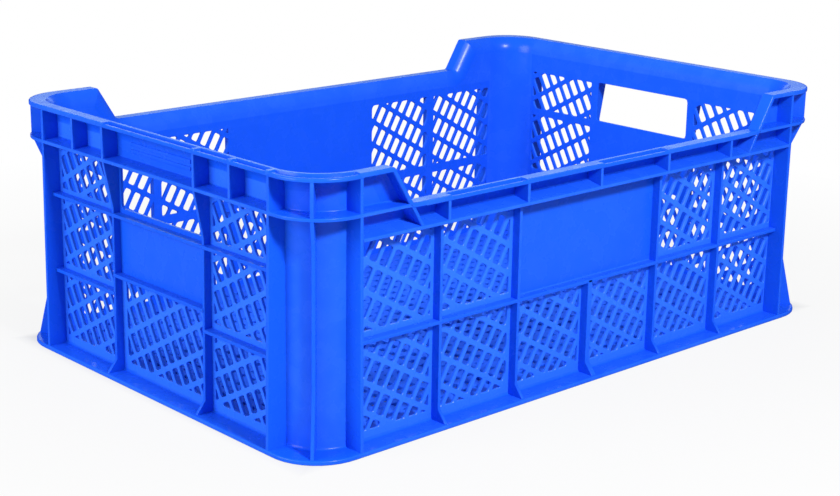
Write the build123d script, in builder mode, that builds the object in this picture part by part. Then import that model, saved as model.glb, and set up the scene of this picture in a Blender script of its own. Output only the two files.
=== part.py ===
from build123d import *
import os
from math import cos, hypot, radians, sin

# Stackable harvest crate on a 600 by 400 pallet footprint, with lattice walls, a channel rim
# and two hand holes. The crate is one polyethylene moulding. Its moulded zones are drawn as
# separate solids that meet face to face. The origin is the middle of the underside, X runs
# along the long sides and Z points up.

# Overall sizes
base_length = 600.0
base_width = 400.0
crate_height = 210.0            # the end walls and the corners
side_drop = 29.0                # the long sides between the corners are lower by this
wall = 2.5
inner_corner_radius = 31.0

# Base flange and floor
base_reach = 17.5               # beyond the wall's outer face
base_corner_radius = 42.0
base_thickness = 3.5
floor_thickness = 3.0
floor_columns = 12
floor_rows = 2
floor_bar = 14.0                # solid bar between two floor slots
floor_border = 20.0
floor_rib = 3.0

# Rim: the wall rolls outwards into a level flange with a hanging lip
rim_end_reach = 14.5            # beyond the wall's outer face
rim_side_reach = 15.5
rim_corner_radius = 39.0
rim_sheet = 3.0
rim_lip = 4.0
rim_lip_thickness = 2.5
rim_roll = 7.0
roll_flats = 3
rim_ridge = 2.0                 # level strip that stays up along the inside of a sunk bay
rim_sink = 1.2
rim_leg = 10.0                  # stretch of wall that is moulded with the rim
lower_flange = 2.7
side_flange_rise = 3.0          # climb of the long side's lower flange towards the wall
end_flange_rise = 1.0
side_channel = 18.3             # from the long side's top to the top of its lower flange
shoulder_flat = 29.0            # level top from the corner to the slope
shoulder_run = 18.0             # level distance that the slope covers
shoulder_seam = 12.0            # level rim beyond the foot of the slope

# Ribs
rib = 2.8
rib_depth = 7.5
rib_foot_height = 10.0
rib_foot_reach = 15.0
rim_rib_inset = 0.5
post_rib_reach = 9.0            # middle rib of a corner, beyond the corner's round wall
post_rib_rim_reach = 18.0
post_rib_foot_reach = 19.5
post_rib_flare = 46.5
post_rib_gusset = 22.0

# Long wall layout
columns = 6
plain_columns = 2               # middle columns of the upper row, a plain plate for a label
side_bar_level = 82.2
label_bar_level = 84.7          # the bar's stretch under the plain plate
middle_rib = 5.0                # thickness of the short rib under the plain plate

# End wall layout
handle_width = 114.0
handle_height = 38.8
handle_sill = 5.0               # from the hand hole down to the bar under it
handle_plate_height = 49.8      # between the bars over and under the plain plate
handle_rib = 61.0               # from the middle to each rib beside the hand hole
rim_rib = 105.0
handle_rib_taper = 1.5          # the rib beside the hole grows shallower by this up to its gusset
handle_gusset = 38.0
lower_bar_level = 69.0

# Ridges over the hand hole
grip_width = 80.0
grip_drop = 10.0                # from the lip down to the first ridge
grip_ridges = 2
grip_ridge = 3.0
grip_ridge_pitch = 5.5
grip_ridge_height = 1.2

# Oblique slots of the lattice
lattice_slope = 28.9            # fall of the rails, in degrees
slot_width = 10.5
slot_length = 24.0
slot_bar = 6.1
slot_rail = 6.0
window_margin = 3.0
window_foot = 7.5
window_sill = 5.0               # from a level bar up to the window over it
window_head = 1.2
least_slot = 0.3                # smallest cut-off slot that is opened, as a share of a whole one

# Levels and half sizes that the zones share
base_x, base_y = base_length / 2, base_width / 2
wall_x, wall_y = base_x - base_reach, base_y - base_reach
inner_x, inner_y = wall_x - wall, wall_y - wall
rim_x, rim_y = wall_x + rim_end_reach, wall_y + rim_side_reach
corner_x, corner_y = inner_x - inner_corner_radius, inner_y - inner_corner_radius
post_radius = inner_corner_radius + wall
side_height = crate_height - side_drop
channel_level = side_height - side_channel
end_flange_base = side_height - lower_flange
side_flange_base = channel_level - lower_flange
slope_top = corner_x - shoulder_flat
slope_foot = slope_top - shoulder_run
seam_x = slope_foot - shoulder_seam
column = 2 * corner_x / columns
label_x = plain_columns * column / 2
handle_y = handle_width / 2
handle_bottom = end_flange_base - handle_height
upper_bar_level = handle_bottom - handle_sill
plate_bar_level = upper_bar_level - handle_plate_height


def slab(x, y, z, mode=Mode.ADD):
    """A block between the two values of each pair."""
    with Locations((sum(x) / 2, sum(y) / 2, sum(z) / 2)):
        Box(abs(x[1] - x[0]), abs(y[1] - y[0]), abs(z[1] - z[0]), mode=mode)


def to_side(x_sign, y_sign):
    """Turns a piece drawn on the +X and +Y side into its mirror place."""
    if x_sign < 0:
        mirror(about=Plane.YZ, mode=Mode.REPLACE)
    if y_sign < 0:
        mirror(about=Plane.XZ, mode=Mode.REPLACE)


def save(piece, name):
    piece.part.label = name
    export_step(piece.part, f"parts/{name}.step")


def rim_section(inner, outer, top, lip, mode=Mode.ADD):
    """The rim in section: a leg of the wall that rolls into the flange, with or without its lip."""
    under, lip_inner, bend = top - rim_sheet, outer - rim_lip_thickness, rim_roll - wall
    turns = [radians(90 * i / roll_flats) for i in range(roll_flats + 1)]
    roll = [(inner + rim_roll * (1 - cos(t)), top - rim_roll * (1 - sin(t))) for t in turns]
    hanging = [(outer, top - rim_lip), (lip_inner, top - rim_lip), (lip_inner, under)]
    Polygon((inner, top - rim_leg), *roll, (outer, top), *(hanging if lip else [(outer, under)]),
            (inner + wall + bend, under), (inner + wall, under - bend), (inner + wall, top - rim_leg),
            mode=mode)


def flange_section(root, edge, low, top, rise, mode=Mode.ADD):
    """A lower flange in section: level below, with a top that climbs towards the wall."""
    Polygon((root, low), (edge, low), (edge, top), (root, top + rise), mode=mode)


def slots(u, v):
    """The oblique slots of one window, cut off straight at the window's edges.

    Bands of slots follow rails that fall at the lattice's slope, and each slot stands square
    to its rail. Slots that the window cuts down to a small rest are left closed.
    """
    fall = radians(lattice_slope)
    pitch, band = slot_width + slot_bar, slot_length + slot_rail
    mid_u, mid_v = sum(u) / 2, sum(v) / 2
    reach = hypot(u[1] - u[0], v[1] - v[0]) / 2
    along, across = int(reach / pitch) + 1, int(reach / band) + 1
    places = []
    for i in range(-along, along + 1):
        for j in range(-across, across + 1):
            s, t = i * pitch, j * band
            places.append((mid_u + s * cos(fall) + t * sin(fall), mid_v - s * sin(fall) + t * cos(fall)))
    with BuildSketch(mode=Mode.PRIVATE) as field:
        with Locations(*places):
            Rectangle(slot_width, slot_length, rotation=-lattice_slope)
        with Locations((mid_u, mid_v)):
            Rectangle(u[1] - u[0], v[1] - v[0], mode=Mode.INTERSECT)
    open_slots = [f for f in field.faces() if f.area > least_slot * slot_width * slot_length]
    add(open_slots, mode=Mode.SUBTRACT)


def plate(u, v):
    with Locations((sum(u) / 2, sum(v) / 2)):
        Rectangle(u[1] - u[0], v[1] - v[0])


def corner_outline(half_x, half_y, radius, hole):
    """The rounded corner of a level outline beyond the post's centre, less a round hole there."""
    RectangleRounded(2 * half_x, 2 * half_y, radius)
    with Locations((corner_x, corner_y)):
        Rectangle(half_x, half_y, align=(Align.MIN, Align.MIN), mode=Mode.INTERSECT)
        Circle(hole, mode=Mode.SUBTRACT)


def slope_x(level, depth):
    """Place along X of the line that lies a depth square under a shoulder's slope."""
    along = (level - side_height) * shoulder_run / side_drop
    return slope_foot + along + depth * hypot(shoulder_run, side_drop) / side_drop


os.makedirs("parts", exist_ok=True)

# Floor: a slotted plate a little above the ground, on a few ribs
with BuildPart() as floor_grid:
    with BuildSketch(Plane.XY.offset(base_thickness)):
        RectangleRounded(2 * inner_x, 2 * inner_y, inner_corner_radius)
        grid_x, grid_y = 2 * (inner_x - floor_border), 2 * (inner_y - floor_border)
        pitch_x, pitch_y = (grid_x + floor_bar) / floor_columns, (grid_y + floor_bar) / floor_rows
        with GridLocations(pitch_x, pitch_y, floor_columns, floor_rows):
            Rectangle(pitch_x - floor_bar, pitch_y - floor_bar, mode=Mode.SUBTRACT)
    extrude(amount=floor_thickness)
    with BuildSketch():
        with GridLocations(2 * pitch_x, 0, floor_columns // 2 - 1, 1):
            Rectangle(floor_rib, grid_y)
        with GridLocations(0, 2 * pitch_y, 1, floor_rows // 2):
            Rectangle(grid_x, floor_rib)
    extrude(amount=base_thickness)
save(floor_grid, "floor_grid")

for side, sign in (("back", 1), ("front", -1)):
    # Level flange at the foot of a long wall
    with BuildPart() as long_foot:
        slab((-corner_x, corner_x), (wall_y, base_y), (0, base_thickness))
        to_side(1, sign)
    save(long_foot, f"{side}_base_flange")

    # Long wall: six columns of lattice below, four above, and a plain plate in the middle
    edge = column / 2 - rib / 2 - window_margin
    foot_level = base_thickness + window_foot
    with BuildPart() as long_wall:
        with BuildSketch(Plane.XZ.offset(inner_y if sign < 0 else -wall_y)):
            plate((-corner_x, corner_x), (0, side_height - rim_leg))
            for i in range(columns):
                middle = -corner_x + column * (i + 0.5)
                across = (middle - edge, middle + edge)
                level = label_bar_level if abs(middle) < label_x else side_bar_level
                slots(across, (foot_level, level - rib / 2 - window_head))
                if abs(middle) > label_x:
                    slots(across, (level + rib / 2 + window_sill, side_flange_base - window_head))
        extrude(amount=wall)
    save(long_wall, f"{side}_wall")

    # Upright ribs on a long wall, with flared feet. The one under the plain plate is thicker
    rib_places = [-corner_x + column * i for i in range(1, columns)]
    tall_places = [x for x in rib_places if abs(x) > label_x - column / 2]
    with BuildPart() as wall_ribs:
        outer = wall_y + rib_depth
        foot = base_thickness + rib_foot_height
        for x in rib_places:
            top = side_flange_base if x in tall_places else label_bar_level - rib / 2
            with BuildSketch(Plane.YZ.offset(x)):
                Polygon((wall_y, base_thickness), (wall_y + rib_foot_reach, base_thickness),
                        (outer, foot), (outer, top), (wall_y, top))
            extrude(amount=(rib if x in tall_places else middle_rib) / 2, both=True)
        to_side(1, sign)
    save(wall_ribs, f"{side}_wall_ribs")

    # Level bar across a long wall, in lengths between the tall ribs
    with BuildPart() as wall_bar:
        ends = [-corner_x] + [x + half for x in tall_places for half in (-rib / 2, rib / 2)] + [corner_x]
        for stretch in zip(ends[::2], ends[1::2]):
            level = label_bar_level if max(map(abs, stretch)) < label_x else side_bar_level
            slab(stretch, (wall_y, wall_y + rib_depth), (level - rib / 2, level + rib / 2))
        to_side(1, sign)
    save(wall_bar, f"{side}_wall_bar")

    # Rim of a long side between the shoulders. On the front every other bay is sunk a little
    with BuildPart() as long_rim:
        with BuildSketch(Plane.YZ):
            rim_section(inner_y, rim_y, side_height, lip=True)
        extrude(amount=seam_x, both=True)
        sunk_bays = zip(rib_places[::2], rib_places[1::2]) if sign < 0 else ()
        for low, high in sunk_bays:
            slab((low + rib / 2, high - rib / 2), (inner_y + rim_roll + rim_ridge, rim_y),
                 (side_height - rim_sink, side_height), mode=Mode.SUBTRACT)
        to_side(1, sign)
    save(long_rim, f"{side}_rim")

    # Lower flange of that rim's channel, from corner to corner
    with BuildPart() as long_flange:
        with BuildSketch(Plane.YZ):
            flange_section(wall_y, rim_y, side_flange_base, channel_level, side_flange_rise)
        extrude(amount=corner_x, both=True)
        to_side(1, sign)
    save(long_flange, f"{side}_rim_flange")

    # Short ribs that stand in the channel, one over each place of the wall's ribs
    with BuildPart() as long_rim_ribs:
        for x in rib_places:
            with BuildSketch(Plane.YZ.offset(x)):
                plate((wall_y, rim_y - rim_rib_inset), (channel_level, side_height - rim_sheet))
                rim_section(inner_y, rim_y, side_height, lip=True, mode=Mode.SUBTRACT)
                flange_section(wall_y, rim_y, side_flange_base, channel_level, side_flange_rise,
                               mode=Mode.SUBTRACT)
            extrude(amount=rib / 2, both=True)
        to_side(1, sign)
    save(long_rim_ribs, f"{side}_rim_ribs")

    # Shoulders: the rim climbs to the corner, over a bay with a flange and a slanting rib
    for end, end_sign in (("right", 1), ("left", -1)):
        with BuildPart() as shoulder:
            with BuildLine() as climb:
                Polyline((corner_x, inner_y, crate_height), (slope_top, inner_y, crate_height),
                         (slope_foot, inner_y, side_height), (seam_x, inner_y, side_height))
            with BuildSketch(Plane.YZ.offset(corner_x)):
                rim_section(inner_y, rim_y, crate_height, lip=False)
            sweep(path=climb.line, transition=Transition.RIGHT)
            lip_y = (rim_y - rim_lip_thickness, rim_y)
            slab((slope_x(crate_height - rim_lip, rim_sheet / 2), corner_x), lip_y,
                 (crate_height - rim_lip, crate_height - rim_sheet / 2))
            slab((seam_x, slope_x(side_height - rim_sheet, 0)), lip_y,
                 (side_height - rim_lip, side_height - rim_sheet / 2))
            with BuildSketch(Plane.XZ.offset(-wall_y)):
                depth = rim_leg / 2
                high, low = crate_height - depth, side_height - depth
                Polygon((seam_x, side_height - rim_leg), (corner_x, side_height - rim_leg),
                        (corner_x, high), (slope_x(high, depth), high),
                        (slope_x(low, depth), low), (seam_x, low))
            extrude(amount=wall)
            slab((slope_x(side_height, rim_sheet / 2), corner_x), (wall_y, rim_y),
                 (end_flange_base, side_height))
            with BuildSketch(Plane.XZ.offset(-wall_y)):
                top = side_height - rim_sheet / 2
                Polygon((slope_x(top, 0), top), (slope_x(channel_level, 0), channel_level),
                        (slope_x(channel_level, rib), channel_level), (slope_x(top, rib), top))
            extrude(amount=-(rim_y - rim_rib_inset - wall_y))
            with BuildSketch(Plane.YZ.offset(corner_x)):
                flange_section(wall_y, rim_y, side_flange_base, channel_level, side_flange_rise)
            extrude(amount=-corner_x, mode=Mode.SUBTRACT)
            to_side(end_sign, sign)
        save(shoulder, f"{side}_{end}_shoulder")

for end, sign in (("right", 1), ("left", -1)):
    # Level flange at the foot of an end wall
    with BuildPart() as end_foot:
        slab((wall_x, base_x), (-corner_y, corner_y), (0, base_thickness))
        to_side(sign, 1)
    save(end_foot, f"{end}_base_flange")

    end_plane = Plane.YZ.offset(inner_x if sign > 0 else -wall_x)
    foot_level = base_thickness + window_foot
    above, below = rib / 2 + window_sill, rib / 2 + window_head

    # End wall beside the hand hole: three lattice windows one above the other
    for side, y_sign in (("back", 1), ("front", -1)):
        with BuildPart() as end_panel:
            with BuildSketch(end_plane):
                plate(sorted((y_sign * handle_y, y_sign * corner_y)), (0, crate_height - rim_leg))
                inward = handle_rib + rib / 2 + window_margin
                across = sorted((y_sign * inward, y_sign * (corner_y - window_margin)))
                slots(across, (foot_level, lower_bar_level - below))
                slots(across, (lower_bar_level + above, upper_bar_level - below))
                slots(across, (upper_bar_level + above, end_flange_base - window_head))
            extrude(amount=wall)
        save(end_panel, f"{end}_{side}_end_panel")

        # Upright rib beside the hand hole, with a flared foot and a gusset up to the rim
        with BuildPart() as handle_post:
            outer = wall_x + rib_depth
            gusset = end_flange_base - handle_gusset
            with BuildSketch(Plane.XZ.offset(-handle_rib)):
                Polygon((wall_x, base_thickness), (wall_x + rib_foot_reach, base_thickness),
                        (outer, base_thickness + rib_foot_height), (outer - handle_rib_taper, gusset),
                        (rim_x - rim_rib_inset, end_flange_base), (wall_x, end_flange_base))
            extrude(amount=rib / 2, both=True)
            to_side(sign, y_sign)
        save(handle_post, f"{end}_{side}_handle_rib")

        # Level bars between that rib and the corner
        with BuildPart() as side_bars:
            for level in (lower_bar_level, upper_bar_level):
                slab((wall_x, wall_x + rib_depth), (handle_rib + rib / 2, corner_y),
                     (level - rib / 2, level + rib / 2))
            to_side(sign, y_sign)
        save(side_bars, f"{end}_{side}_level_bars")

    # Wall under the hand hole: a plain plate over one lattice window
    with BuildPart() as handle_plate:
        with BuildSketch(end_plane):
            plate((-handle_y, handle_y), (0, handle_bottom))
            edge = handle_y - window_margin
            slots((-edge, edge), (foot_level, plate_bar_level - below))
        extrude(amount=wall)
    save(handle_plate, f"{end}_handle_plate")

    # Level bars over and under the plain plate
    with BuildPart() as plate_bars:
        for level in (plate_bar_level, upper_bar_level):
            slab((wall_x, wall_x + rib_depth), (rib / 2 - handle_rib, handle_rib - rib / 2),
                 (level - rib / 2, level + rib / 2))
        to_side(sign, 1)
    save(plate_bars, f"{end}_plate_bars")

    # Rim of an end wall. On the left the bays from the front corner to past the grip are sunk
    with BuildPart() as end_rim:
        with BuildSketch(Plane.XZ):
            rim_section(inner_x, rim_x, crate_height, lip=True)
        extrude(amount=corner_y, both=True)
        stops = (-corner_y, -rim_rib, -handle_rib, handle_rib)
        sunk_bays = zip(stops, stops[1:]) if sign < 0 else ()
        for low, high in sunk_bays:
            slab((inner_x + rim_roll + rim_ridge, rim_x), (low + rib / 2, high - rib / 2),
                 (crate_height - rim_sink, crate_height), mode=Mode.SUBTRACT)
        to_side(sign, 1)
    save(end_rim, f"{end}_rim")

    # Lower flange of that rim's channel
    with BuildPart() as end_flange:
        with BuildSketch(Plane.XZ):
            flange_section(wall_x, rim_x, end_flange_base, side_height, end_flange_rise)
        extrude(amount=corner_y, both=True)
        to_side(sign, 1)
    save(end_flange, f"{end}_rim_flange")

    # Short ribs that stand in the channel
    with BuildPart() as end_rim_ribs:
        for y in (-rim_rib, -handle_rib, handle_rib, rim_rib):
            with BuildSketch(Plane.XZ.offset(-y)):
                plate((wall_x, rim_x - rim_rib_inset), (side_height, crate_height - rim_sheet))
                rim_section(inner_x, rim_x, crate_height, lip=True, mode=Mode.SUBTRACT)
                flange_section(wall_x, rim_x, end_flange_base, side_height, end_flange_rise,
                               mode=Mode.SUBTRACT)
            extrude(amount=rib / 2, both=True)
        to_side(sign, 1)
    save(end_rim_ribs, f"{end}_rim_ribs")

    # Hand grip: the wall over the hole, with level ridges for the fingers
    with BuildPart() as grip:
        slab((inner_x, wall_x), (-handle_y, handle_y), (end_flange_base, crate_height - rim_leg))
        for i in range(grip_ridges):
            top = crate_height - rim_lip - grip_drop - grip_ridge_pitch * i
            slab((wall_x, wall_x + grip_ridge_height), (-grip_width / 2, grip_width / 2),
                 (top - grip_ridge, top))
        to_side(sign, 1)
    save(grip, f"{end}_grip")

    # Corner: a round post wall with three ribs, its foot, its middle flange and its rim
    for side, y_sign in (("back", 1), ("front", -1)):
        with BuildPart() as corner:
            with BuildSketch():
                corner_outline(wall_x, wall_y, post_radius, inner_corner_radius)
            extrude(amount=crate_height - rim_leg)
            with BuildSketch(Plane.XZ.offset(-corner_y)):
                rim_section(inner_x, wall_x + rim_roll, crate_height, lip=False)
            revolve(axis=Axis((corner_x, corner_y, 0), (0, 0, 1)), revolution_arc=90)
            with BuildSketch():
                corner_outline(base_x, base_y, base_corner_radius, inner_corner_radius + wall / 2)
            extrude(amount=base_thickness)
            with BuildSketch(Plane.XY.offset(end_flange_base)):
                corner_outline(rim_x, rim_y, rim_corner_radius, inner_corner_radius + wall / 2)
            extrude(amount=lower_flange)
            with BuildSketch(Plane.XY.offset(crate_height - rim_sheet)):
                corner_outline(rim_x, rim_y, rim_corner_radius, inner_corner_radius + rim_roll)
            extrude(amount=rim_sheet)
            with BuildSketch(Plane.XY.offset(crate_height - rim_lip)):
                corner_outline(rim_x, rim_y, rim_corner_radius, inner_corner_radius + rim_roll)
                RectangleRounded(2 * (rim_x - rim_lip_thickness), 2 * (rim_y - rim_lip_thickness),
                                 rim_corner_radius - rim_lip_thickness, mode=Mode.SUBTRACT)
            extrude(amount=rim_lip - rim_sheet / 2)
            under = crate_height - rim_sheet / 2
            edge_planes = ((Plane.YZ.offset(corner_x), inner_y + wall / 2, base_y, rim_y, rib),
                           (Plane.XZ.offset(-corner_y), inner_x + wall / 2, base_x, rim_x, -rib))
            for plane, root, base_edge, rim_edge, thickness in edge_planes:
                with BuildSketch(plane):
                    Polygon((root, 0), (base_edge, 0), (base_edge, base_thickness),
                            (rim_edge, crate_height - rim_lip), (rim_edge, under),
                            (root + wall / 2 + rim_roll, under), (root, crate_height - rim_leg))
                extrude(amount=thickness)
            with BuildSketch(Plane((corner_x, corner_y, 0), x_dir=(1, 1, 0), z_dir=(1, -1, 0))):
                shank = post_radius + post_rib_reach
                Polygon((post_radius - wall / 2, 0), (post_radius + post_rib_foot_reach, 0),
                        (post_radius + post_rib_foot_reach, base_thickness),
                        (shank, base_thickness + post_rib_flare),
                        (shank, end_flange_base - post_rib_gusset),
                        (post_radius + post_rib_rim_reach, end_flange_base),
                        (post_radius + post_rib_rim_reach, under),
                        (post_radius + rim_roll, under), (post_radius - wall / 2, crate_height - rim_leg))
            extrude(amount=rib / 2, both=True)
            to_side(sign, y_sign)
        save(corner, f"{side}_{end}_corner")
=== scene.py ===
import bmesh
import bpy
import numpy as np
from mathutils import Matrix, Vector
from mathutils.geometry import delaunay_2d_cdt


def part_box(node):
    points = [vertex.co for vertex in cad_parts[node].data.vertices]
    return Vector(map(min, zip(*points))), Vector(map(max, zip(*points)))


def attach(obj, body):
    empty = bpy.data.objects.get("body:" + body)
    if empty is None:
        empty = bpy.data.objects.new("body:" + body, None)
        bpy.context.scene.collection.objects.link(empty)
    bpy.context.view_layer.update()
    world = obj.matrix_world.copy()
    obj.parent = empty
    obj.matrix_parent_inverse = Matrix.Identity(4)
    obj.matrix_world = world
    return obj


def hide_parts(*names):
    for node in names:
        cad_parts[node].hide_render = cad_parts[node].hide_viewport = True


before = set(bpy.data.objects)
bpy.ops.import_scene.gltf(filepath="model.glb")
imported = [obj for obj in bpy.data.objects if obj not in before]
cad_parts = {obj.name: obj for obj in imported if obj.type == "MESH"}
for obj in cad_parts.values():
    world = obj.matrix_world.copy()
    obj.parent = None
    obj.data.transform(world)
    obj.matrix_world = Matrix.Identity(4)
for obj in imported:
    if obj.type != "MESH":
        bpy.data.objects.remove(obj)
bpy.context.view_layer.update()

# The plastic. The whole crate is one injection moulding of high-density polyethylene, pigmented
# blue all through. A polished tool leaves the walls semi-glossy with a faint waviness, the floor is
# matt, and handling rubs patches duller. Edges are painted paler, partly as rubbing wear and partly
# as a painted highlight where light catches their rounding. The thin bars and the floor are painted a
# paler blue, which is painted light standing in for light that passes through them.
pigment = "#1050DA"
flow_pigment = "#1256E2"
# Paler edge colour: partly rubbing wear, partly a painted highlight on convex edges.
rub_and_highlight_tint = "#3C7AF6"
# Painted light: a paler blue for light passing through the thin bars and the thin floor.
painted_backlight_tint = "#2868F0"
flow_size, flow_detail = 85.0, 3.0      # cloudy flow marks, mm
rub_size, rub_detail = 16.0, 4.0        # patches of rubbing, mm
grain_size, grain_detail = 3.0, 2.0     # waviness of the skin, drawn coarser than real so that it shows, mm
wave_height, wave_strength = 0.02, 0.3  # mm, and share
edge_start, edge_full = 0.52, 0.62      # pointiness where the paler edge (rubbing wear and painted highlight) starts, and where it is full
most_rub_and_highlight = 0.4
glossy_patch, dull_patch = 0.3, 0.8     # noise in the glossiest and in the dullest patches
polished_roughness, matt_roughness = (0.22, 0.34), (0.6, 0.75)
polyethylene_ior, polyethylene_gloss = 1.5, 0.16
MM = 0.001


def linear(hex_colour):
    """An sRGB hex colour as linear red, green, blue and alpha."""
    srgb = np.array([int(hex_colour[i:i + 2], 16) for i in (1, 3, 5)]) / 255
    rgb = np.where(srgb <= 0.04045, srgb / 12.92, ((srgb + 0.055) / 1.055) ** 2.4)
    return (*rgb, 1.0)


def add_node(tree, kind, links, **settings):
    """A shader node with its settings, whose inputs take a value or another node's output."""
    made = tree.nodes.new(kind)
    for name, value in settings.items():
        setattr(made, name, value)
    for name, value in links.items():
        if isinstance(value, bpy.types.NodeSocket):
            tree.links.new(value, made.inputs[name])
        else:
            made.inputs[name].default_value = value
    return made


def polyethylene(name, roughness, lattice=None, clouds=(pigment, flow_pigment)):
    """The pigmented plastic: clouds of two blues, in patches of two roughnesses, with edges painted paler
    as rubbing wear and as a painted highlight.

    A lattice wall is painted paler from its inner face to its middle, painted light for light passing
    through the thin bars, except on its plain plate, which lies nearer to the middle than a given width
    and above a given level.
    """
    plastic = bpy.data.materials.new(name)
    plastic.use_nodes = True
    tree = plastic.node_tree
    tree.nodes.clear()
    place = add_node(tree, "ShaderNodeTexCoord", {}).outputs["Object"]
    patterns = ((flow_size, flow_detail), (rub_size, rub_detail), (grain_size, grain_detail))
    flow, rubs, grain = (add_node(tree, "ShaderNodeTexNoise", {"Vector": place, "Scale": 1 / (size * MM),
                                                               "Detail": detail}).outputs["Fac"]
                         for size, detail in patterns)
    edges = add_node(tree, "ShaderNodeNewGeometry", {}).outputs["Pointiness"]
    # Rubbing wear and painted highlight: convex edges, found by pointiness, are painted paler in patches.
    edge = add_node(tree, "ShaderNodeMapRange", {"Value": edges, "From Min": edge_start,
                                                 "From Max": edge_full, "To Min": 0.0, "To Max": most_rub_and_highlight})
    rub_and_highlight = add_node(tree, "ShaderNodeMath", {0: edge.outputs["Result"], 1: rubs}, operation="MULTIPLY")
    body = add_node(tree, "ShaderNodeMix", {"Factor": flow, 6: linear(clouds[0]), 7: linear(clouds[1])},
                    data_type="RGBA")
    worn_and_highlit = add_node(tree, "ShaderNodeMix", {"Factor": rub_and_highlight.outputs[0], 6: body.outputs[2],
                                            7: linear(rub_and_highlight_tint)}, data_type="RGBA")
    colour = worn_and_highlit.outputs[2]
    # Painted light: the outer half of a lattice wall is painted paler, standing in for light that passes
    # through the thin bars.
    if lattice:
        along, through, half_plate, plate_low, inner, outer = lattice
        spot = add_node(tree, "ShaderNodeSeparateXYZ", {"Vector": place}).outputs
        width, depth = (add_node(tree, "ShaderNodeMath", {0: spot[axis]}, operation="ABSOLUTE").outputs[0]
                        for axis in (along, through))
        beside = add_node(tree, "ShaderNodeMath", {0: width, 1: half_plate * MM}, operation="GREATER_THAN")
        under = add_node(tree, "ShaderNodeMath", {0: spot["Z"], 1: plate_low * MM}, operation="LESS_THAN")
        barred = add_node(tree, "ShaderNodeMath", {0: beside.outputs[0], 1: under.outputs[0]},
                          operation="MAXIMUM")
        facing = add_node(tree, "ShaderNodeMapRange", {"Value": depth, "From Min": inner * MM,
                                                       "From Max": (inner + outer) / 2 * MM})
        painted_backlight_share = add_node(tree, "ShaderNodeMath", {0: barred.outputs[0], 1: facing.outputs["Result"]},
                         operation="MULTIPLY")
        colour = add_node(tree, "ShaderNodeMix", {"Factor": painted_backlight_share.outputs[0], 6: colour,
                                                  7: linear(painted_backlight_tint)}, data_type="RGBA").outputs[2]
    gloss = add_node(tree, "ShaderNodeMapRange", {"Value": rubs, "From Min": glossy_patch,
                                                  "From Max": dull_patch, "To Min": roughness[0],
                                                  "To Max": roughness[1]})
    waves = add_node(tree, "ShaderNodeBump", {"Height": grain, "Strength": wave_strength,
                                              "Distance": wave_height * MM})
    skin = add_node(tree, "ShaderNodeBsdfPrincipled",
                    {"Base Color": colour, "Roughness": gloss.outputs["Result"], "IOR": polyethylene_ior,
                     "Specular IOR Level": polyethylene_gloss, "Normal": waves.outputs["Normal"]})
    add_node(tree, "ShaderNodeOutputMaterial", {"Surface": skin.outputs["BSDF"]})
    return plastic


polished = polyethylene("polished_blue_polyethylene", polished_roughness)
# The floor's clouds mix in the paler blue, painted light for light passing through the thin floor.
matt = polyethylene("matt_blue_polyethylene", matt_roughness, clouds=(flow_pigment, painted_backlight_tint))

# The floor plate. It lies between the walls, a little above the ground, and drains through rows of
# small openings. A few ribs below carry it. The wall, floor and flanges are one moulding, so each
# piece from here on is a zone of it and meets its neighbours flush.
FLAT = np.eye(3)                # outline in X and Y, thickness along Z
root = 1.0                      # how deep a rib stands in what carries it, mm
edge_radius = 0.6
quarter_round = np.radians([0, 30, 60, 90])
opening_chamfer = 0.35
largest_round = 0.42            # a corner's rounding takes up to this share of a side
floor_columns, floor_rows = 42, 26
floor_border, floor_bar, floor_rib = 16.0, 6.4, 3.0
rib_columns = 6 * np.arange(-3, 4)      # openings from the middle to each rib below
least_angle = np.radians(40)    # edges that turn more than this stay crisp


def reach(node):
    """Lowest and highest corner of a solid in the frame, in millimetres."""
    return tuple(np.array(corner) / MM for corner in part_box(node))


def moulded(name, shells, nodes, turn=(1, 1), finish=polished):
    """One piece of the crate from closed shells, mirrored into place, with its finish, hung under the root
    body, and the solids it stands for hidden.
    """
    points = np.concatenate([shell[0] for shell in shells]) * (*turn, 1) * MM
    starts = np.cumsum([0] + [len(shell[0]) for shell in shells])
    faces = [[start + i for i in face] for start, shell in zip(starts, shells) for face in shell[1]]
    mesh = bpy.data.meshes.new(name)
    mesh.from_pydata(points, [], faces)
    shaped = bmesh.new()
    shaped.from_mesh(mesh)
    bmesh.ops.recalc_face_normals(shaped, faces=shaped.faces)
    shaped.to_mesh(mesh)
    shaped.free()
    mesh.shade_smooth()
    mesh.set_sharp_from_angle(angle=least_angle)
    mesh.materials.append(finish)
    piece = bpy.data.objects.new(name, mesh)
    bpy.context.scene.collection.objects.link(piece)
    piece.modifiers.new("flat_faces", "WEIGHTED_NORMAL").keep_sharp = True
    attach(piece, "root")
    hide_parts(*nodes)
    return piece


def grow(loop, distance):
    """Moves a counter-clockwise loop's sides outwards: each corner goes along the sum of its two normals."""
    along = np.roll(loop, -1, 0) - loop
    normal = np.c_[along[:, 1], -along[:, 0]] / np.linalg.norm(along, axis=1)[:, None]
    before = np.roll(normal, 1, 0)
    return loop + distance * (before + normal) / (1 + (before * normal).sum(1))[:, None]


def rounded(loop, radius):
    """Rounds each corner: three points on the curve between two points that lie a radius from the corner."""
    ahead, behind = np.roll(loop, -1, 0) - loop, np.roll(loop, 1, 0) - loop
    sizes = [np.linalg.norm(way, axis=1)[:, None] for way in (behind, ahead)]
    first, last = (loop + way / size * np.minimum(radius, largest_round * size)
                   for way, size in zip((behind, ahead), sizes))
    return np.stack([first, loop / 2 + (first + last) / 4, last], 1).reshape(-1, 2)


def rectangle(u, v):
    """The four corners from two limits across and two limits up, counter-clockwise."""
    return np.array([(u[0], v[0]), (u[1], v[0]), (u[1], v[1]), (u[0], v[1])], float)


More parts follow.
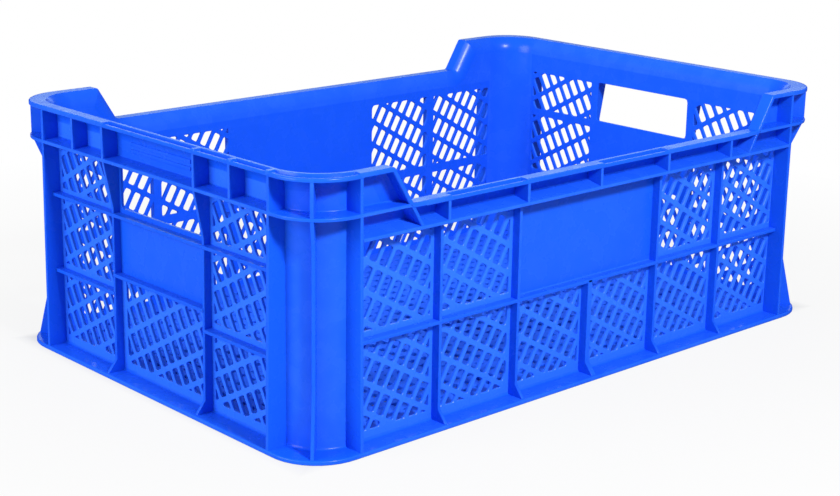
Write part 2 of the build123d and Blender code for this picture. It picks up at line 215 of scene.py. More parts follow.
def loft(rings):
    """Quads between neighbouring rings, each a closed loop of points, with a face over each end ring."""
    count, size = rings.shape[:2]
    i, k = np.meshgrid(np.arange(count - 1) * size, np.arange(size), indexing="ij")
    after = (k + 1) % size
    quads = np.stack([i + k, i + after, i + size + after, i + size + k], -1).reshape(-1, 4).tolist()
    ends = [list(range(size))[::-1], list(range((count - 1) * size, count * size))]
    return rings.reshape(-1, 3), quads + ends


def flat_piece(loop, axes, low, high, soft=edge_radius):
    """A flat piece between two levels, its outline drawn in along a quarter round at both faces."""
    turn = quarter_round if soft else quarter_round[-1:]
    inset, rise = soft * (1 - np.sin(turn)), soft * (1 - np.cos(turn))
    steps = zip(np.r_[inset, inset[::-1]], np.r_[low + rise, high - rise[::-1]])
    rings = [np.c_[grow(loop, -d) if d else loop, np.full(len(loop), level)] for d, level in steps]
    return loft(np.array(rings) @ axes)


def slotted_sheet(outline, openings, axes, low, high):
    """A flat sheet with openings, whose edges are chamfered on both faces.

    The loops of the openings stand at four depths: grown by the chamfer at the faces and as drawn between.
    Each face is filled between the outline and the grown loops by triangles.
    """
    drawn = np.concatenate([outline, *openings])
    wide = np.concatenate([outline, *(grow(loop, opening_chamfer) for loop in openings)])
    ends = np.cumsum([len(outline)] + [len(loop) for loop in openings])
    starts = np.r_[0, ends[:-1]]
    loops = [list(range(a, b)) for a, b in zip(starts, ends)]
    filled = delaunay_2d_cdt([Vector(p) for p in wide], [], loops, 0, 1e-6)
    source = [ids[0] for ids in filled[3]]
    cover = [[source[i] for i in face] for face, owners in zip(filled[2], filled[5]) if owners == [0]]
    count = len(drawn)
    after = np.arange(count) + 1
    after[ends - 1] = starts
    levels = ((wide, high), (drawn, high - opening_chamfer), (drawn, low + opening_chamfer), (wide, low))
    points = np.concatenate([np.c_[flat, np.full(count, level)] for flat, level in levels]) @ axes
    here = np.arange(count)
    sides = [np.stack([k + here, k + after, k + count + after, k + count + here], 1)
             for k in range(0, 3 * count, count)]
    back = [[3 * count + i for i in face[::-1]] for face in cover]
    return points, cover + back + np.concatenate(sides).tolist()


inner_x, wall_x = (corner[0] for corner in reach("right_handle_plate"))
inner_y, wall_y = (corner[1] for corner in reach("back_wall"))
corner_x, corner_y = reach("back_wall")[1][0], reach("right_rim")[1][1]
base_thickness = reach("back_base_flange")[1][2]
floor_top = reach("floor_grid")[1][2]
inner_radius = inner_x - corner_x
turns = np.radians(np.arange(0, 91, 7.5))       # headings round a corner
quarters = ((1, 1, 0), (-1, 1, 90), (-1, -1, 180), (1, -1, 270))
outline = np.concatenate([np.c_[sx * corner_x + inner_radius * np.cos(turns + np.radians(a)),
                                sy * corner_y + inner_radius * np.sin(turns + np.radians(a))]
                          for sx, sy, a in quarters])
field = np.array([inner_x, inner_y]) - floor_border
pitch = (2 * field + floor_bar) / (floor_columns, floor_rows)
starts = [-field + pitch * (i, j) for i in range(floor_columns) for j in range(floor_rows)]
opening = pitch - floor_bar
holes = [rectangle((u, u + opening[0]), (v, v + opening[1])) for u, v in starts]
shells = [slotted_sheet(outline, holes, FLAT, base_thickness, floor_top)]
for x in rib_columns * pitch[0]:
    strip = rectangle((x - floor_rib / 2, x + floor_rib / 2), (-field[1], field[1]))
    shells.append(flat_piece(strip, FLAT, 0, base_thickness + root))
strip = rectangle((-field[0], field[0]), (-floor_rib / 2, floor_rib / 2))
shells.append(flat_piece(strip, FLAT, 0, base_thickness + root))
moulded("floor_plate", shells, ["floor_grid"], finish=matt)

# The base flange. A level strip runs round the foot of the walls, with a rounded outer edge on which
# the crate slides and a small fillet up to the wall. The corners carry it round.
base_x, base_y = reach("right_base_flange")[1][0], reach("back_base_flange")[1][1]
foot_fillet = 2.0
foot_round = 1.2


def foot_profile(top):
    """The flange in section: share of its width, further reach and height, from outer edge to fillet."""
    cosine, sine = np.cos(quarter_round), np.sin(quarter_round)
    outer = np.c_[np.ones(4), foot_round * (cosine - 1), top + foot_round * (sine - 1)]
    fillet = np.c_[np.zeros(4), foot_fillet * (1 - sine), top + foot_fillet * (1 - cosine)]
    heel = [(0, -root, top + foot_fillet), (0, -root, 0), (1, -edge_radius, 0), (1, 0, edge_radius)]
    return np.concatenate([outer, fillet, heel])


def carry(profile, origin, out, width):
    """Carries a section along stations: a point goes out by its share of the width and its reach, and up."""
    outwards = profile[..., 0] * width[:, None] + profile[..., 1]
    return loft(origin[:, None] + out[:, None] * outwards[..., None] + profile[..., 2, None] * (0, 0, 1))


def straight(profile, start, end, out, width):
    """The section carried along one straight length."""
    return carry(profile, np.array([start, end], float), np.array([out, out], float), np.full(2, width))


foot = foot_profile(base_thickness)
for side, sign in (("back", 1), ("front", -1)):
    run = straight(foot, (-corner_x, wall_y, 0), (corner_x, wall_y, 0), (0, 1, 0), base_y - wall_y)
    moulded(f"{side}_foot_flange", [run], [f"{side}_base_flange"], (1, sign))
for end, sign in (("right", 1), ("left", -1)):
    run = straight(foot, (wall_x, -corner_y, 0), (wall_x, corner_y, 0), (1, 0, 0), base_x - wall_x)
    moulded(f"{end}_foot_flange", [run], [f"{end}_base_flange"], (sign, 1))

# The long walls. Thin sheets, opened by an oblique lattice: rails fall at a steady slope and short
# bars stand square to them. Windows of lattice lie between the ribs, and the middle of the upper
# row stays closed as a plain plate for a label.
SIDE = np.array([[1, 0, 0], [0, 0, 1], [0, 1, 0]])      # outline in X and Z, thickness along Y
lattice_fall = np.radians(29.7)
slot_pitch, band_pitch = 11.0, 20.0
slot_width, slot_length = 7.7, 15.7
slot_corner = 1.8
window_margin, window_foot = 3.0, 7.5
window_sill, window_head = 4.2, 1.2
corner_margin = 0.8             # a window's distance from the corner's rib
least_opening = 4.0             # smallest rest of a slot that is opened, mm2
long_phases = {"back": (2.76, 17.99), "front": (8.26, 16.35)}    # a slot's middle, along and across
columns = 6


def clip(loop, way, limit):
    """The part of a convex loop that lies up to a limit along a direction."""
    past = loop @ np.array(way, float) - limit
    after, past_after = np.roll(loop, -1, 0), np.roll(past, -1)
    crosses = (past < 0) != (past_after < 0)
    step = np.divide(past, past - past_after, out=np.zeros_like(past), where=crosses)
    both = np.stack([loop, loop + (after - loop) * step[:, None]], 1)
    return both[np.stack([past < 0, crosses], 1)]


def area(loop):
    """Half the sum of the cross products of neighbouring points."""
    after = np.roll(loop, -1, 0)
    return (loop[:, 0] * after[:, 1] - loop[:, 1] * after[:, 0]).sum() / 2


def oblique_slots(u, v, fall, phase):
    """The slots of one window: a grid along the rails and bars, each slot cut off at the window's sides."""
    ways = np.array([(np.cos(fall), -np.sin(fall)), (np.sin(fall), np.cos(fall))])
    middles = []
    for way, start, step in zip(ways, phase, (slot_pitch, band_pitch)):
        reached = rectangle(u, v) @ way
        first, last = np.floor((reached.min() - start) / step), np.ceil((reached.max() - start) / step)
        middles.append(start + np.arange(first, last + 1) * step)
    cells = np.stack(np.meshgrid(*middles, indexing="ij"), -1)
    whole = rectangle((-slot_width / 2, slot_width / 2), (-slot_length / 2, slot_length / 2))
    found = []
    for cell in cells.reshape(-1, 2):
        loop = (cell + whole) @ ways
        for way, limit in (((1, 0), u[1]), ((-1, 0), -u[0]), ((0, 1), v[1]), ((0, -1), -v[0])):
            loop = clip(loop, way, limit) if len(loop) else loop
        if len(loop) > 2 and area(loop) > least_opening:
            found.append(rounded(loop, slot_corner))
    return found


rib = np.ptp([corner[1] for corner in reach("right_back_handle_rib")])
side_height = reach("back_rim")[1][2]
rim_leg = 15.0                  # depth of the rim's inner leg, down to the flat wall
wall_top = side_height - rim_leg
side_bar, label_bar = (corner[2] + half for corner, half in zip(reach("back_wall_bar"), (rib / 2, -rib / 2)))
side_flange_rise = 3.0          # the channel's lower flange climbs towards the wall by this
flange_low, flange_edge = (corner[2] for corner in reach("back_rim_flange"))
flange_edge -= side_flange_rise
column = 2 * corner_x / columns
foot_level = base_thickness + window_foot
above, below = rib / 2 + window_sill, rib / 2 + window_head
plain = column                  # half the width of the plain plate
windows = []
ribs = -corner_x + column * np.arange(columns + 1)
margins = np.where(np.abs(ribs) < corner_x - column / 2, rib / 2 + window_margin, corner_margin)
for u in zip(ribs[:-1] + margins[:-1], ribs[1:] - margins[1:]):
    middle = np.mean(u)
    level = label_bar if abs(middle) < plain else side_bar
    windows.append((u, (foot_level, level - below)))
    if abs(middle) > plain:
        windows.append((u, (level + above, flange_low - window_head)))
# This finish paints the lattice walls paler towards the outside: painted light for light passing through the
# thin bars.
long_skin = polyethylene("long_lattice_polyethylene", polished_roughness,
                         ("X", "Y", plain, label_bar, inner_y, wall_y))
for side, sign in (("back", 1), ("front", -1)):
    slots = [slot for window in windows for slot in oblique_slots(*window, lattice_fall, long_phases[side])]
    sheet = slotted_sheet(rectangle((-corner_x, corner_x), (0, wall_top)), slots, SIDE, inner_y, wall_y)
    moulded(f"{side}_lattice_wall", [sheet], [f"{side}_wall"], (1, sign), long_skin)

# Ribs and level bars of the long walls. Upright ribs with flared feet divide the wall into columns
# and a level bar crosses them. The rib under the plain plate is thicker and stops at the bar.
END = np.array([[0, 1, 0], [0, 0, 1], [1, 0, 0]])       # outline in Y and Z, thickness along X
rib_outer = reach("back_wall_bar")[1][1]
rib_foot_reach = reach("back_wall_ribs")[1][1]
rib_foot = 10.0                 # height of the flared foot
rib_foot_top = base_thickness + rib_foot
middle_rib = 5.0
rib_places = ribs[1:-1]
tall = np.abs(rib_places) > column / 2


def rib_outline(face, outer, foot_reach, top):
    """A rib in side view: from the wall's face out to its edge, with a foot that flares to the flange."""
    return np.array([(face - root, base_thickness - root), (foot_reach, base_thickness - root),
                     (foot_reach, base_thickness + root), (outer, rib_foot_top), (outer, top),
                     (face - root, top)])


for side, sign in (("back", 1), ("front", -1)):
    shells = []
    for x, is_tall in zip(rib_places, tall):
        top, half = (flange_low, rib / 2) if is_tall else (label_bar - rib, middle_rib / 2)
        loop = rib_outline(wall_y, rib_outer, rib_foot_reach, top + root)
        shells.append(flat_piece(loop, END, x - half, x + half))
    moulded(f"{side}_upright_ribs", shells, [f"{side}_wall_ribs"], (1, sign))
    stops = np.r_[-corner_x, rib_places[tall], corner_x]
    height = side_bar - rib / 2, side_bar + rib / 2
    shells = [flat_piece(rectangle(length, height), SIDE, wall_y - root, rib_outer)
              for length in zip(stops, stops[1:])]
    moulded(f"{side}_level_bar", shells, [f"{side}_wall_bar"], (1, sign))

# The rim of the long sides. The wall rolls outwards into a level flange with a hanging lip, and a
# second flange below makes it a channel, which short ribs divide. On the front every other bay is
# sunk: a groove lies between a ridge on the roll and a lower lip.
rim_roll = 7.0                  # how far the inner face rolls outwards up to the level top
roll_tilt = np.radians(52)
roll_radius = rim_roll / (1 - np.cos(roll_tilt))
roll_height = roll_radius * np.sin(roll_tilt)
rim_sheet = 3.0
rim_lip, lip_thickness = 4.0, 2.5
rim_round = 1.2
ridge = 2.6
lip_sink = 1.1                  # how far the lip of a sunk bay is lower
groove_depth, groove_sheet = 2.6, 1.2
step_run = 0.6
roll_points, back_points = 6, 5
cross_bar = 3.6                 # level bar that stays up between two sunk bays
flange_fillet = 0.8
seam_x, rim_y = reach("back_rim")[1][:2]
wall = wall_y - inner_y
rim_rib_inset = 0.5
heel_run = 4.0                  # how far a rib's heel leans out with the roll


def rim_profile(lip, sunk=0.0):
    """The rim in section, heights from its top: up the rolled inner face, over the top, round the lip, down.

    The columns are share of the width, reach and height. Sunk is 1 in a sunk bay and 0 on a level top.
    """
    tilt = np.linspace(0, roll_tilt, roll_points)
    turn = quarter_round[::-1]
    low, sink = -groove_depth * sunk, -lip_sink * sunk
    under = min(-rim_sheet, low - groove_sheet)
    rolled = np.c_[0 * tilt, roll_radius * (1 - np.cos(tilt)), roll_radius * np.sin(tilt) - roll_height]
    step = [(0, rim_roll + ridge, 0), (0, rim_roll + ridge + step_run, low),
            (1, -lip_thickness - step_run, low), (1, -lip_thickness, sink)]
    outer = np.c_[np.ones(4), rim_round * (np.cos(turn) - 1), rim_round * (np.sin(turn) - 1) + sink]
    hanging = [(1, 0, -lip + edge_radius), (1, -edge_radius, -lip), (1, -lip_thickness / 2, -lip),
               (1, edge_radius - lip_thickness, min(-lip, under)),
               (1, -lip_thickness, min(edge_radius - lip, under)), (1, -lip_thickness - step_run, under)]
    behind = roll_radius - wall
    back = np.linspace(np.arcsin((roll_height + under) / behind), 0, back_points)
    rolled_back = np.c_[0 * back, roll_radius - behind * np.cos(back), behind * np.sin(back) - roll_height]
    legs = [(0, wall, -rim_leg), (0, 0, -rim_leg)]
    return np.concatenate([rolled, step, outer, hanging, rolled_back, legs])


def sunk_stations(start, stop, bays):
    """Places along a rim and how far each is sunk: steps down and up inside every bay."""
    inset = cross_bar / 2
    steps = [(low + inset, low + inset + step_run, high - inset - step_run, high - inset)
             for low, high in bays]
    return np.r_[start, np.ravel(steps), stop], np.r_[0.0, np.tile([0.0, 1.0, 1.0, 0.0], len(bays)), 0.0]


def rim_run(places, sunk, inner, outer, top, axes):
    """The rim carried along a side: the section of each place, set off from the wall's inner face."""
    sections = np.array([rim_profile(rim_lip, share) for share in sunk])
    origin = np.stack([places, np.full(len(places), top), np.full(len(places), inner)], 1) @ axes
    out = np.broadcast_to(axes[2], origin.shape)
    return carry(sections, origin, out, np.full(len(places), outer - inner))


def flange_profile(low, high, rise=0.0):
    """A thin flange in section: round at its outer edge, with a top that climbs to a fillet at the wall."""
    cosine, sine = np.cos(quarter_round), np.sin(quarter_round)
    upper = np.c_[np.ones(4), edge_radius * (cosine - 1), high + edge_radius * (sine - 1)]
    fillet = np.c_[np.zeros(4), flange_fillet * (1 - sine), high + rise + flange_fillet * (1 - cosine)]
    heel = [(0, -root, high + rise + flange_fillet), (0, -root, low)]
    lower = np.c_[np.ones(4), edge_radius * (sine - 1), low + edge_radius * (1 - cosine)]
    return np.concatenate([upper, fillet, heel, lower])


def channel_rib(face, outer, low, high):
    """A short rib in side view, from the lower flange to the rim's sheet, its heel inside the rolled leg."""
    top, edge = high - rim_sheet + root, outer - rim_rib_inset
    return np.array([(face - root, low - root), (edge, low - root), (edge, top), (face + heel_run, top),
                     (face - root, high - roll_height)])


for side, sign in (("back", 1), ("front", -1)):
    bays = list(zip(rib_places[::2], rib_places[1::2])) if sign < 0 else []
    run = rim_run(*sunk_stations(-seam_x, seam_x, bays), inner_y, rim_y, side_height, SIDE)
    moulded(f"{side}_rolled_rim", [run], [f"{side}_rim"], (1, sign))
    profile = flange_profile(flange_low, flange_edge, side_flange_rise)
    run = straight(profile, (-corner_x, wall_y, 0), (corner_x, wall_y, 0), (0, 1, 0), rim_y - wall_y)
    moulded(f"{side}_channel_flange", [run], [f"{side}_rim_flange"], (1, sign))
    loop = channel_rib(wall_y, rim_y, flange_edge, side_height)
    shells = [flat_piece(loop, END, x - rib / 2, x + rib / 2) for x in rib_places]
    moulded(f"{side}_channel_ribs", shells, [f"{side}_rim_ribs"], (1, sign))

# The shoulders. Towards each corner the rim climbs from the low long side to the height of the
# ends. Under the slope lie a short level flange and a slanting rib down to the channel's floor.
rim_x, crate_height = reach("right_rim")[1][0], reach("right_rim")[1][2]
end_flange_rise = 1.0
end_flange_low, end_flange_edge = (corner[2] for corner in reach("right_rim_flange"))
end_flange_edge -= end_flange_rise
shoulder_flat, shoulder_run = 29.0, 18.0
crest_radius, foot_radius = 3.0, 4.0
least_radius = 0.2              # what is left of the crest's radius deep inside
bend_points = 9
slope_lip = rim_sheet + edge_radius
slope_top = corner_x - shoulder_flat
slope_foot = slope_top - shoulder_run
fall = np.arctan2(crate_height - side_height, shoulder_run)


def bent_down(depths):
    """The crest in side view: for each heading and depth a point of the arc that is left of its radius."""
    heading = np.linspace(0, fall, bend_points)
    middle = np.array([-np.sin(fall / 2), np.cos(fall / 2)])
    radius = np.maximum(crest_radius - depths, least_radius)[:, None]
    centre = np.array([slope_top, crate_height]) - (depths[:, None] + radius) / np.cos(fall / 2) * middle
    return centre + radius * np.stack([-np.sin(heading), np.cos(heading)], 1)[:, None]


def bent_level(depths):
    """The foot of the slope in side view: each depth lies on an arc round a centre above it."""
    heading = np.linspace(fall, 0, bend_points)
    middle = np.array([-np.sin(fall / 2), np.cos(fall / 2)])
    centre = np.array([slope_foot, side_height]) + foot_radius / np.cos(fall / 2) * middle
    ways = np.stack([-np.sin(heading), np.cos(heading)], 1)[:, None]
    return centre - (foot_radius + depths[:, None]) * ways


def climb_line(depths):
    """The whole shoulder in side view at several depths: level, crest, slope, foot, level."""
    start, end = ([np.stack([np.full(len(depths), x), z - depths], 1)]
                  for x, z in ((corner_x, crate_height), (seam_x, side_height)))
    return np.concatenate([start, bent_down(depths), bent_level(depths), end])


def slope_line(level, depth):
    """Place along X of the line that lies a depth square under the slope."""
    return slope_foot + (level - side_height) / np.tan(fall) + depth / np.sin(fall)


section = rim_profile(slope_lip)
line = climb_line(-section[:, 2])
outwards = inner_y + section[:, 0] * (rim_y - inner_y) + section[:, 1]
outwards = np.broadcast_to(outwards, line.shape[:2])
climb = loft(np.stack([line[..., 0], outwards, line[..., 1]], -1))
under = climb_line(np.array([rim_leg]))[:-1, 0]
web = np.concatenate([[(corner_x, wall_top)], under])
shelf_start = slope_line(end_flange_edge, rim_sheet / 2)
slant_levels = np.array([flange_edge - root, side_height - roll_height, side_height - rim_sheet + root])
slant = np.concatenate([np.c_[slope_line(slant_levels, rib), slant_levels],
                        np.c_[slope_line(slant_levels, 0), slant_levels][::-1]])
points, faces = flat_piece(slant, SIDE, wall_y - root, rim_y - rim_rib_inset)
high = points[:, 2] > side_height - rim_sheet
points[high, 1] = np.maximum(points[high, 1], wall_y + heel_run)
slant_rib = points, faces
shelf_places = np.array([shelf_start, shelf_start + rim_leg, corner_x])
shelf_heel = wall_y + np.array([heel_run, 0, 0])
shelf = carry(flange_profile(end_flange_low, end_flange_edge), np.c_[shelf_places, shelf_heel, np.zeros(3)],
              np.tile([0.0, 1.0, 0.0], (3, 1)), rim_y - shelf_heel)
for side, sign in (("back", 1), ("front", -1)):
    for end, end_sign in (("right", 1), ("left", -1)):
        shells = [climb, flat_piece(web, SIDE, inner_y, wall_y, soft=0), shelf, slant_rib]
        moulded(f"{side}_{end}_rim_shoulder", shells, [f"{side}_{end}_shoulder"], (end_sign, sign))

# The end walls. The same lattice in three rows beside the hand hole and one row under a plain plate,
# with the hand hole cut through below the rim.
end_fall = np.radians(28.8)
end_phases = {"right": (9.21, 10.66), "left": (1.28, 7.7)}
top_sill = 3.2                  # the top row reaches closer to its bar
hole_corner = 3.5
end_wall_top = crate_height - rim_leg
handle_y, handle_bottom = reach("right_handle_plate")[1][1:]
post_low, post_high = reach("right_back_handle_rib")
handle_rib = (post_low[1] + post_high[1]) / 2
side_bars, plate_bars = ([corner[2] + half for corner, half in zip(reach(node), (rib / 2, -rib / 2))]
                         for node in ("right_back_level_bars", "right_plate_bars"))
rows = ((foot_level, side_bars[0] - below), (side_bars[0] + above, side_bars[1] - below),
        (side_bars[1] + rib / 2 + top_sill, end_flange_low - window_head))
inward, outward = handle_rib + rib / 2 + window_margin, corner_y - window_margin
windows = [((window_margin - handle_y, handle_y - window_margin), (foot_level, plate_bars[0] - below))]
windows += [(u, v) for u in ((inward, outward), (-outward, -inward)) for v in rows]
hand_hole = rounded(rectangle((-handle_y, handle_y), (handle_bottom, end_flange_low)), hole_corner)
# This finish paints the lattice walls paler towards the outside: painted light for light passing through the
# thin bars.
end_skin = polyethylene("end_lattice_polyethylene", polished_roughness,
                        ("Y", "X", handle_rib, plate_bars[0], inner_x, wall_x))
for end, sign in (("right", 1), ("left", -1)):
    slots = [slot for window in windows for slot in oblique_slots(*window, end_fall, end_phases[end])]
    border = rectangle((-corner_y, corner_y), (0, end_wall_top))
    sheet = slotted_sheet(border, slots + [hand_hole], END, inner_x, wall_x)
    moulded(f"{end}_lattice_wall", [sheet],
            [f"{end}_back_end_panel", f"{end}_front_end_panel", f"{end}_handle_plate"], (sign, 1), end_skin)

# Ribs and bars of the end walls. A tall rib stands on each side of the hand hole and spreads to the
# rim in a gusset. Level bars tie it to the corners and frame the plain plate.
rib_outer_x = reach("right_plate_bars")[1][0]
rib_foot_x = wall_x + rib_foot_reach - wall_y
gusset_height = 38.0
rib_draft = 1.5                 # the rib grows shallower by this up to its gusset
loop = np.array([(wall_x - root, base_thickness - root), (rib_foot_x, base_thickness - root),
                 (rib_foot_x, base_thickness + root), (rib_outer_x, rib_foot_top),
                 (rib_outer_x - rib_draft, end_flange_low - gusset_height),
                 (rim_x - rim_rib_inset, end_flange_low + root), (wall_x - root, end_flange_low + root)])
handle_post = flat_piece(loop, SIDE, handle_rib - rib / 2, handle_rib + rib / 2)
bar_runs = (((handle_rib, corner_y), side_bars), ((-handle_rib, handle_rib), plate_bars))
side_bar_pieces, plate_bar_pieces = (
    [flat_piece(rectangle(u, (z - rib / 2, z + rib / 2)), END, wall_x - root, rib_outer_x) for z in levels]
    for u, levels in bar_runs)
for end, sign in (("right", 1), ("left", -1)):
    for side, y_sign in (("back", 1), ("front", -1)):
        moulded(f"{end}_{side}_handle_post", [handle_post], [f"{end}_{side}_handle_rib"], (sign, y_sign))
        moulded(f"{end}_{side}_bars", side_bar_pieces, [f"{end}_{side}_level_bars"], (sign, y_sign))
    moulded(f"{end}_plate_frame_bars", plate_bar_pieces, [f"{end}_plate_bars"], (sign, 1))

# The rim of the ends. It has the same section. On the left end the bays from the front corner to past
# the grip are sunk, with the ribs' places as cross bars between them.
rim_rib = reach("right_rim_ribs")[1][1] - rib / 2
profile = flange_profile(end_flange_low, end_flange_edge, end_flange_rise)
end_flange = straight(profile, (wall_x, -corner_y, 0), (wall_x, corner_y, 0), (1, 0, 0), rim_x - wall_x)
loop = channel_rib(wall_x, rim_x, end_flange_edge, crate_height)
end_ribs = [flat_piece(loop, SIDE, y - rib / 2, y + rib / 2)
            for y in (-rim_rib, -handle_rib, handle_rib, rim_rib)]
for end, sign in (("right", 1), ("left", -1)):
    stops = (-corner_y, -rim_rib, -handle_rib, handle_rib)
    bays = list(zip(stops, stops[1:])) if sign < 0 else []
    run = rim_run(*sunk_stations(-corner_y, corner_y, bays), inner_x, rim_x, crate_height, END)
    moulded(f"{end}_rolled_rim", [run], [f"{end}_rim"], (sign, 1))
    moulded(f"{end}_channel_flange", [end_flange], [f"{end}_rim_flange"], (sign, 1))
    moulded(f"{end}_channel_ribs", end_ribs, [f"{end}_rim_ribs"], (sign, 1))

# The hand grips. Over the hole the wall has level ridges for the fingers.
grip_half, grip_top = 40.0, 196.0
grip_ridge, grip_pitch = 3.0, 5.5
grip_outer = reach("right_grip")[1][0]
bands = [rectangle((-grip_half, grip_half), (top - grip_ridge, top))
         for top in (grip_top, grip_top - grip_pitch)]
ridges = [flat_piece(band, END, wall_x - root, grip_outer) for band in bands]
for end, sign in (("right", 1), ("left", -1)):
    moulded(f"{end}_grip_ridges", ridges, [f"{end}_grip"], (sign, 1))

# The corners. Each is a round post with a rib at each end of its quarter turn and one in the middle,
# a foot, a middle flange and its part of the rim, which overhang the post all round.
rim_corner_radius, base_corner_radius = 39.0, 42.0
post_reach, post_rim_reach, post_foot_reach = 9.0, 18.7, 19.5
post_flare, post_gusset = 46.5, 22.0
post_radius = inner_radius + wall
corner_share = 0.8              # depth of the corner's groove, as a share of the others'
centre = np.array([corner_x, corner_y, 0.0])


def headings(angles):
    """Level directions from their angles: cosine, sine and no rise."""
    return np.c_[np.cos(angles), np.sin(angles), np.zeros(len(angles))]


def outline_reach(directions, half_x, half_y, radius):
    """Distance from the post's centre to a rounded outline: to its straight sides, or its corner circle."""
    over = np.array([half_x - corner_x, half_y - corner_y])
    middle = over - radius
    cosine, sine = directions[:, 0], directions[:, 1]
    near = cosine * middle[0] + sine * middle[1]
    circle = near + np.sqrt(near ** 2 - middle @ middle + radius ** 2)
    tiny = 1e-9
    to_x, to_y = over[0] / np.maximum(cosine, tiny), over[1] / np.maximum(sine, tiny)
    return np.where(to_x * sine <= middle[1], to_x, np.where(to_y * cosine <= middle[0], to_y, circle))


def around(profile, start, outer, directions):
    """A section carried round the post from a start radius to an outer reach."""
    return carry(profile, centre + directions * start, directions, outer - start)


def corner_rim(angles, sunk):
    """The rim round a corner, sunk at some of its headings."""
    sections = np.array([rim_profile(rim_lip, share) for share in sunk])
    sections[..., 2] += crate_height
    out = headings(angles)
    return around(sections, inner_radius, outline_reach(out, rim_x, rim_y, rim_corner_radius), out)


out = headings(turns)
rim_reach = outline_reach(out, rim_x, rim_y, rim_corner_radius)
base_reach = outline_reach(out, base_x, base_y, base_corner_radius)
post_top = crate_height - rim_leg
post_profile = np.array([(0, 0, 0), (1, 0, 0), (1, 0, post_top), (0, 0, post_top)], float)
shells = [around(post_profile, inner_radius, np.full(len(turns), post_radius), out),
          around(foot, post_radius, base_reach, out),
          around(flange_profile(end_flange_low, end_flange_edge), post_radius, rim_reach, out)]
level_rim = corner_rim(turns, np.zeros(len(turns)))
ridge_radius = inner_radius + rim_roll
quarter = ridge_radius * np.pi / 2
places, sunk = sunk_stations(0, quarter, [(0, quarter)])
angles = np.unique(np.round(np.r_[turns, places / ridge_radius], 6))
sunk_rim = corner_rim(angles, corner_share * np.interp(angles * ridge_radius, places, sunk))
rim_under = crate_height - rim_sheet + root
post_ends = ((wall_y, base_y, rim_y, corner_x, END), (wall_x, base_x, rim_x, corner_y, SIDE))
for face, base_edge, rim_edge, low, axes in post_ends:
    loop = np.array([(face - root, root), (base_edge - foot_round, root),
                     (base_edge - foot_round / 2, base_thickness),
                     (rim_edge - rim_rib_inset, crate_height - rim_lip),
                     (rim_edge - rim_rib_inset, rim_under), (face + heel_run, rim_under),
                     (face - root, crate_height - roll_height)])
    shells.append(flat_piece(loop, axes, low, low + rib))
shank = post_radius + post_reach
loop = np.array([(post_radius - root, root), (post_radius + post_foot_reach, root),
                 (post_radius + post_foot_reach, base_thickness), (shank, base_thickness + post_flare),
                 (shank, end_flange_low - post_gusset),
                 (post_radius + post_rim_reach, end_flange_low), (post_radius + post_rim_reach, rim_under),
                 (post_radius + heel_run, rim_under), (post_radius - root, crate_height - roll_height)])
across = np.sqrt(0.5)
diagonal = np.array([[across, across, 0], [0, 0, 1], [across, -across, 0]])
points, faces = flat_piece(loop, diagonal, -rib / 2, rib / 2)
shells.append((points + centre, faces))
for end, sign in (("right", 1), ("left", -1)):
    for side, y_sign in (("back", 1), ("front", -1)):
        rim = sunk_rim if (side, end) == ("front", "left") else level_rim
        moulded(f"{side}_{end}_post", [rim, *shells], [f"{side}_{end}_corner"], (sign, y_sign))

# The studio. A pale matt floor fades into a white surround. A lamp stands in front, a large soft one on
# the left, and a long low one behind leaves a sheen on the rim. A narrow beam from above lights the floor
# inside the crate. Sizes are in metres.
scene = bpy.context.scene
scene.view_settings.view_transform = "Standard"
floor_white, floor_reflected = "#B8B8B8", "#606060"    # as lit, and as the plastic's gloss mirrors it
floor_half = 6.0
fade_start, fade_end = 0.35, 0.8
near_white = 0.88               # share of white beside the crate
under_x, under_y = 0.28, 0.18   # half the ground that lies dark under the crate
under_edge = (0.9, 1.1)         # where that dark ground ends, as shares of it
floor_paint = bpy.data.materials.new("matt_white_floor")
floor_paint.use_nodes = True
tree = floor_paint.node_tree
tree.nodes.clear()
place = add_node(tree, "ShaderNodeTexCoord", {}).outputs["Object"]
distance = add_node(tree, "ShaderNodeVectorMath", {0: place}, operation="LENGTH")
fade = add_node(tree, "ShaderNodeMapRange", {"Value": distance.outputs["Value"], "From Min": fade_start,
                                             "From Max": fade_end, "To Min": near_white, "To Max": 1.0})
inside = add_node(tree, "ShaderNodeVectorMath", {0: place, 1: (1 / under_x, 1 / under_y, 0)},
                  operation="MULTIPLY")
inside = add_node(tree, "ShaderNodeVectorMath", {0: inside.outputs[0]}, operation="ABSOLUTE")
inside = add_node(tree, "ShaderNodeSeparateXYZ", {0: inside.outputs[0]})
inside = add_node(tree, "ShaderNodeMath", {0: inside.outputs[0], 1: inside.outputs[1]}, operation="MAXIMUM")
clear = add_node(tree, "ShaderNodeMapRange", {"Value": inside.outputs[0], "From Min": under_edge[0],
                                              "From Max": under_edge[1]})
fade = add_node(tree, "ShaderNodeMath", {0: fade.outputs["Result"], 1: clear.outputs["Result"]},
                operation="MULTIPLY")
rays = add_node(tree, "ShaderNodeLightPath", {})
white = add_node(tree, "ShaderNodeMath", {0: rays.outputs["Is Camera Ray"], 1: fade.outputs[0]},
                 operation="MULTIPLY")
grey = add_node(tree, "ShaderNodeMapRange", {"Value": rays.outputs["Is Glossy Ray"],
                                             "To Min": linear(floor_white)[0],
                                             "To Max": linear(floor_reflected)[0]})
paint = add_node(tree, "ShaderNodeBsdfDiffuse", {"Color": grey.outputs["Result"]})
glow = add_node(tree, "ShaderNodeEmission", {"Color": (1, 1, 1, 1), "Strength": 1.0})
mixed = add_node(tree, "ShaderNodeMixShader", {0: white.outputs[0], 1: paint.outputs[0], 2: glow.outputs[0]})
add_node(tree, "ShaderNodeOutputMaterial", {"Surface": mixed.outputs[0]})
mesh = bpy.data.meshes.new("studio_floor")
ground = rectangle((-floor_half, floor_half), (-floor_half, floor_half))
mesh.from_pydata(np.c_[ground, np.zeros(4)], [], [(0, 1, 2, 3)])
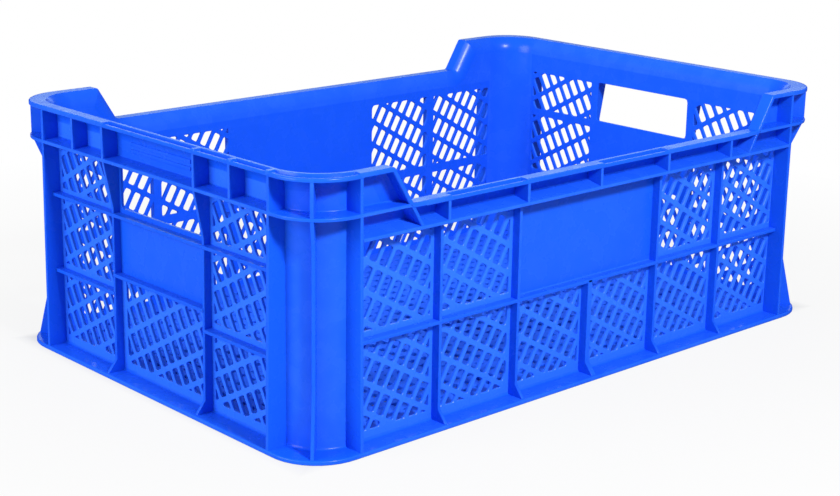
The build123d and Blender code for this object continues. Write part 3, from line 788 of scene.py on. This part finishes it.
mesh.materials.append(floor_paint)
studio_floor = bpy.data.objects.new("studio_floor", mesh)
scene.collection.objects.link(studio_floor)

diffuse_level, glossy_level = 0.4, 0.1      # the surround as a light, and as the plastic's gloss mirrors it
surround = bpy.data.worlds.new("white_surround")
scene.world = surround
surround.use_nodes = True
tree = surround.node_tree
tree.nodes.clear()
rays = add_node(tree, "ShaderNodeLightPath", {})
level = add_node(tree, "ShaderNodeMapRange", {"Value": rays.outputs["Is Glossy Ray"], "To Min": diffuse_level,
                                              "To Max": glossy_level})
level = add_node(tree, "ShaderNodeMath", {0: level.outputs["Result"], 1: rays.outputs["Is Camera Ray"]},
                 operation="MAXIMUM")
sky = add_node(tree, "ShaderNodeBackground", {"Color": (1, 1, 1, 1), "Strength": level.outputs[0]})
add_node(tree, "ShaderNodeOutputWorld", {"Surface": sky.outputs[0]})

# Each lamp has its place, size, power in watts, spread in degrees and colour.
lamps = (("key_lamp", (-0.3, -1.3, 1.05), (0.2, 0.2), 28.0, 180, "#FFFFFF"),
         ("left_lamp", (-2.5, 0.5, 0.9), (1.6, 1.6), 64.0, 180, "#FFFFFF"),
         ("top_lamp", (0.0, 0.0, 1.9), (0.4, 0.2), 0.12, 8, "#FFFFFF"),
         ("rear_lamp", (2.1, 2.3, 1.12), (2.8, 0.5), 11.0, 180, "#D8FFFF"))
aim = Vector((0.0, 0.0, 0.1))
for name, spot, size, power, spread, tint in lamps:
    lamp = bpy.data.lights.new(name, "AREA")
    lamp.shape = "RECTANGLE"
    lamp.size, lamp.size_y = size
    lamp.energy = power
    lamp.spread = np.radians(spread)
    lamp.color = linear(tint)[:3]
    holder = bpy.data.objects.new(name, lamp)
    scene.collection.objects.link(holder)
    holder.location = spot
    holder.rotation_euler = (aim - Vector(spot)).to_track_quat("-Z", "Y").to_euler()
    holder.visible_camera = False

# The camera stands at the photograph's viewing angle, in front of the near left corner.
image_width = 840
focal_pixels = 1691.0
sensor = 36.0
eye = (-0.990077, -1.055138, 0.47688)
yaw, pitch_angle, roll_angle = 0.7473, -0.2752, 0.0161
ahead = np.array([np.sin(yaw) * np.cos(pitch_angle), np.cos(yaw) * np.cos(pitch_angle), np.sin(pitch_angle)])
level_right = np.array([np.cos(yaw), -np.sin(yaw), 0.0])
level_up = np.cross(level_right, ahead)
right = np.cos(roll_angle) * level_right + np.sin(roll_angle) * level_up
up = np.cos(roll_angle) * level_up - np.sin(roll_angle) * level_right
view = bpy.data.cameras.new("photo_view")
view.sensor_width = sensor
view.lens = focal_pixels * sensor / image_width
view.clip_start, view.clip_end = 0.05, 50.0
camera = bpy.data.objects.new("photo_view", view)
scene.collection.objects.link(camera)
camera.matrix_world = Matrix(np.c_[np.r_[np.c_[right, up, -ahead], [[0, 0, 0]]], [*eye, 1.0]].tolist())
scene.camera = camera
